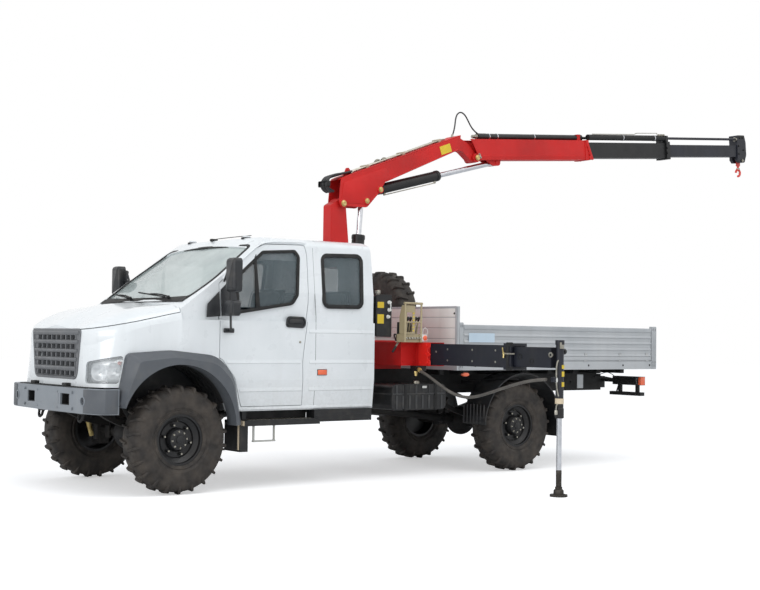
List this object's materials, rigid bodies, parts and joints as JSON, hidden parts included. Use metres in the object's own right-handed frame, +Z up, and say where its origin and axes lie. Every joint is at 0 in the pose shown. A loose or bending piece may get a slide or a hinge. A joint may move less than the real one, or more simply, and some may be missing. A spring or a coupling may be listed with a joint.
{
  "type": "truck-mounted loader crane",
  "caption": "Double-cab all-wheel-drive lorry with a dropside bed and a folding loader crane behind the cab, boom out over the bed and outriggers down.",
  "frame": {"origin": "on the ground, on the centre plane, at the middle of the whole length with the boom out", "axes": "+X forward, the way the lorry drives; +Y to the lorry's left; +Z up"},
  "size_m": [11.0593, 6.336, 4.6622],
  "materials": {
    "cab_white": "white body paint on pressed steel",
    "crane_red": "red machinery paint on welded steel",
    "crane_black": "black machinery paint on welded steel",
    "outrigger_navy": "dark navy machinery paint on welded steel",
    "chassis_black": "black chassis paint on pressed steel",
    "bumper_grey": "blue-grey paint on pressed steel",
    "bed_grey": "grey coated aluminium profiles",
    "flare_grey": "grained dark grey moulding",
    "box_black": "black paint on sheet steel",
    "window_glass": "clear safety glass",
    "lamp_lens": "clear moulded lens",
    "tail_lens": "red lens on a black housing",
    "tyre_rubber": "vulcanised tread rubber",
    "rim_black": "black paint on pressed steel",
    "axle_iron": "cast and forged iron, painted black",
    "engine_iron": "cast iron",
    "seat_fabric": "woven seat cloth on foam",
    "cylinder_black": "gloss black paint on steel tube",
    "rod_chrome": "hard chrome on ground steel",
    "hook_steel": "red paint on forged steel",
    "console_beige": "beige paint on steel tube",
    "mirror_black": "moulded black plastic",
    "hose_rubber": "braided hose rubber"
  },
  "bodies": {
    "lorry": {"chassis": "chassis_black", "running_gear": "axle_iron", "engine_block": "engine_iron", "cab_shell": "cab_white", "cab_glass": "window_glass", "cab_interior": "seat_fabric", "wings": "cab_white", "grille": "chassis_black", "headlamps": "lamp_lens", "wheel_flares": "flare_grey", "bumper": "bumper_grey", "side_steps": "box_black", "chassis_boxes": "box_black", "spare_tyre": "tyre_rubber", "spare_rim": "rim_black", "bed": "bed_grey", "rear_mudguards": "box_black", "rear_lamps": "tail_lens", "crane_base": "crane_red", "crane_console": "console_beige", "oil_tank": "box_black", "leg_hose": "hose_rubber"},
    "bonnet": {"bonnet": "cab_white"},
    "door_left": {"door_left": "cab_white", "door_glass_left": "window_glass", "mirrors_left": "mirror_black"},
    "door_right": {"door_right": "cab_white", "door_glass_right": "window_glass", "mirrors_right": "mirror_black"},
    "knuckle_left": {"knuckle_left": "axle_iron"},
    "knuckle_right": {"knuckle_right": "axle_iron"},
    "side_board_left": {"side_board_left": "bed_grey"},
    "side_board_right": {"side_board_right": "bed_grey"},
    "tailgate": {"tailgate": "bed_grey"},
    "column": {"column": "crane_red"},
    "inner_boom": {"inner_boom": "crane_red", "knuckle_hose": "hose_rubber"},
    "outer_boom": {"outer_boom": "crane_red"},
    "extension_1": {"extension_1": "crane_black"},
    "extension_2": {"extension_2": "crane_black"},
    "hook": {"hook": "hook_steel"},
    "lift_barrel": {"lift_barrel": "cylinder_black"},
    "lift_rod": {"lift_rod": "rod_chrome"},
    "fold_barrel": {"fold_barrel": "cylinder_black"},
    "fold_rod": {"fold_rod": "rod_chrome"},
    "outrigger_sleeve_left": {"outrigger_sleeve_left": "outrigger_navy"},
    "outrigger_sleeve_right": {"outrigger_sleeve_right": "outrigger_navy"},
    "outrigger_beam_left": {"outrigger_beam_left": "outrigger_navy"},
    "outrigger_beam_right": {"outrigger_beam_right": "outrigger_navy"},
    "jack_left": {"jack_left": "rod_chrome"},
    "jack_right": {"jack_right": "rod_chrome"},
    "wheel_front_left": {"tyre_front_left": "tyre_rubber", "rim_front_left": "rim_black"},
    "wheel_front_right": {"tyre_front_right": "tyre_rubber", "rim_front_right": "rim_black"},
    "wheel_rear_left": {"tyre_rear_left": "tyre_rubber", "rim_rear_left": "rim_black"},
    "wheel_rear_right": {"tyre_rear_right": "tyre_rubber", "rim_rear_right": "rim_black"}
  },
  "joints": [
    {"name": "steer_left", "type": "hinge", "parent": "lorry", "child": "knuckle_left", "pos_m": [4.6012, 0.75, 0.53], "axis": [0, 0, 1], "range_deg": [-28, 28]},
    {"name": "roll_front_left", "type": "hinge", "parent": "knuckle_left", "child": "wheel_front_left", "pos_m": [4.6012, 0.91, 0.53], "axis": [0, 1, 0], "continuous": true},
    {"name": "roll_rear_left", "type": "hinge", "parent": "lorry", "child": "wheel_rear_left", "pos_m": [0.0862, 0.895, 0.53], "axis": [0, 1, 0], "continuous": true},
    {"name": "door_left_hinge", "type": "hinge", "parent": "lorry", "child": "door_left", "pos_m": [4.1712, 1.03, 1.2], "axis": [0, 0, -1], "range_deg": [0, 65]},
    {"name": "side_board_left_hinge", "type": "hinge", "parent": "lorry", "child": "side_board_left", "pos_m": [-0.5088, 1.175, 1.296], "axis": [-1, 0, 0], "range_deg": [0, 170]},
    {"name": "steer_right", "type": "hinge", "parent": "lorry", "child": "knuckle_right", "pos_m": [4.6012, -0.75, 0.53], "axis": [0, 0, 1], "range_deg": [-28, 28]},
    {"name": "roll_front_right", "type": "hinge", "parent": "knuckle_right", "child": "wheel_front_right", "pos_m": [4.6012, -0.91, 0.53], "axis": [0, 1, 0], "continuous": true},
    {"name": "roll_rear_right", "type": "hinge", "parent": "lorry", "child": "wheel_rear_right", "pos_m": [0.0862, -0.895, 0.53], "axis": [0, 1, 0], "continuous": true},
    {"name": "door_right_hinge", "type": "hinge", "parent": "lorry", "child": "door_right", "pos_m": [4.1712, -1.03, 1.2], "axis": [0, 0, 1], "range_deg": [0, 65]},
    {"name": "side_board_right_hinge", "type": "hinge", "parent": "lorry", "child": "side_board_right", "pos_m": [-0.5088, -1.175, 1.296], "axis": [1, 0, 0], "range_deg": [0, 170]},
    {"name": "bonnet_hinge", "type": "hinge", "parent": "lorry", "child": "bonnet", "pos_m": [4.6072, 0, 1.885], "axis": [0, -1, 0], "range_deg": [0, 50]},
    {"name": "tailgate_hinge", "type": "hinge", "parent": "lorry", "child": "tailgate", "pos_m": [-2.2038, 0, 1.296], "axis": [0, -1, 0], "range_deg": [0, 170]},
    {"name": "slew", "type": "hinge", "parent": "lorry", "child": "column", "pos_m": [1.7512, 0, 1.543], "axis": [0, 0, 1], "range_deg": [-100, 300]},
    {"name": "lift", "type": "hinge", "parent": "column", "child": "inner_boom", "pos_m": [2.0122, 0, 3.084], "axis": [0, 1, 0], "range_deg": [-20, 45]},
    {"name": "fold", "type": "hinge", "parent": "inner_boom", "child": "outer_boom", "pos_m": [-0.0588, 0, 3.81], "axis": [0, 1, 0], "range_deg": [-40, 0]},
    {"name": "extension_1_slide", "type": "slide", "parent": "outer_boom", "child": "extension_1", "axis": [-0.9956, 0, 0.0941], "range_m": [-1.45, 0]},
    {"name": "extension_2_slide", "type": "slide", "parent": "extension_1", "child": "extension_2", "axis": [-0.9956, 0, 0.0941], "range_m": [-1.4, 0]},
    {"name": "hook_swing", "type": "hinge", "parent": "extension_2", "child": "hook", "pos_m": [-5.42874, 0, 4.27643], "axis": [0, 1, 0], "range_deg": [-80, 80]},
    {"name": "lift_barrel_hinge", "type": "hinge", "parent": "column", "child": "lift_barrel", "pos_m": [1.7862, 0, 1.7], "axis": [0, 1, 0], "range_deg": [-2, 4.2]},
    {"name": "lift_rod_slide", "type": "slide", "parent": "lift_barrel", "child": "lift_rod", "axis": [-0.0763, 0, 0.9971], "range_m": [-0.105, 0.232]},
    {"name": "fold_barrel_hinge", "type": "hinge", "parent": "inner_boom", "child": "fold_barrel", "pos_m": [1.4772, 0, 3.286], "axis": [0, 1, 0], "range_deg": [-6.4, 0]},
    {"name": "fold_rod_slide", "type": "slide", "parent": "fold_barrel", "child": "fold_rod", "axis": [-0.9664, 0, 0.2571], "range_m": [-0.145, 0]},
    {"name": "outrigger_left_slide", "type": "slide", "parent": "lorry", "child": "outrigger_beam_left", "axis": [0, 1, 0], "range_m": [-1.66, 0]},
    {"name": "outrigger_sleeve_left_slide", "type": "slide", "parent": "lorry", "child": "outrigger_sleeve_left", "axis": [0, 1, 0], "range_m": [-1.16, 0]},
    {"name": "jack_left_slide", "type": "slide", "parent": "outrigger_beam_left", "child": "jack_left", "axis": [0, 0, -1], "range_m": [-0.45, 0]},
    {"name": "outrigger_right_slide", "type": "slide", "parent": "lorry", "child": "outrigger_beam_right", "axis": [0, -1, 0], "range_m": [-1.66, 0]},
    {"name": "outrigger_sleeve_right_slide", "type": "slide", "parent": "lorry", "child": "outrigger_sleeve_right", "axis": [0, -1, 0], "range_m": [-1.16, 0]},
    {"name": "jack_right_slide", "type": "slide", "parent": "outrigger_beam_right", "child": "jack_right", "axis": [0, 0, -1], "range_m": [-0.45, 0]}
  ],
  "couplings": [
    {"joint": "steer_right", "follows": "steer_left", "ratio": 1},
    {"joint": "lift_barrel_hinge", "follows": "lift", "ratio": 0.085},
    {"joint": "lift_rod_slide", "follows": "lift", "m_per_rad": 0.29},
    {"joint": "fold_barrel_hinge", "follows": "fold", "ratio": 0.155},
    {"joint": "fold_rod_slide", "follows": "fold", "m_per_rad": 0.205},
    {"joint": "outrigger_sleeve_left_slide", "follows": "outrigger_left_slide", "ratio": 0.698},
    {"joint": "outrigger_sleeve_right_slide", "follows": "outrigger_right_slide", "ratio": 0.698}
  ]
}
